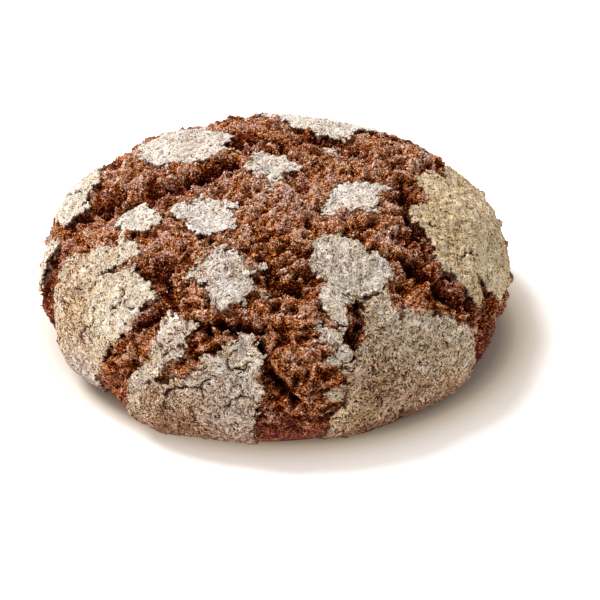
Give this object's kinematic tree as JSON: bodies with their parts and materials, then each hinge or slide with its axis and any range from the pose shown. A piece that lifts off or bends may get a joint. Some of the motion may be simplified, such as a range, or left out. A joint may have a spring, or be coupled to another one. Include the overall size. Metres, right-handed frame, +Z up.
{
  "type": "rye loaf",
  "caption": "Small flat round hearth loaf of rye, its floured skin torn into pale plates over rough brown crumb, with a flat base to stand on.",
  "frame": {"origin": "on the flat base, straight under the crown of the dome", "axes": "+Z up through the crown, +X to the right and +Y to the back as the loaf is shown"},
  "size_m": [0.1346, 0.1371, 0.0525],
  "materials": {
    "rye_crust": "dry baked rye crust: chalky flour on the plates of skin, rough red-brown crumb between them"
  },
  "bodies": {
    "root": {"loaf": "rye_crust"}
  },
  "joints": []
}
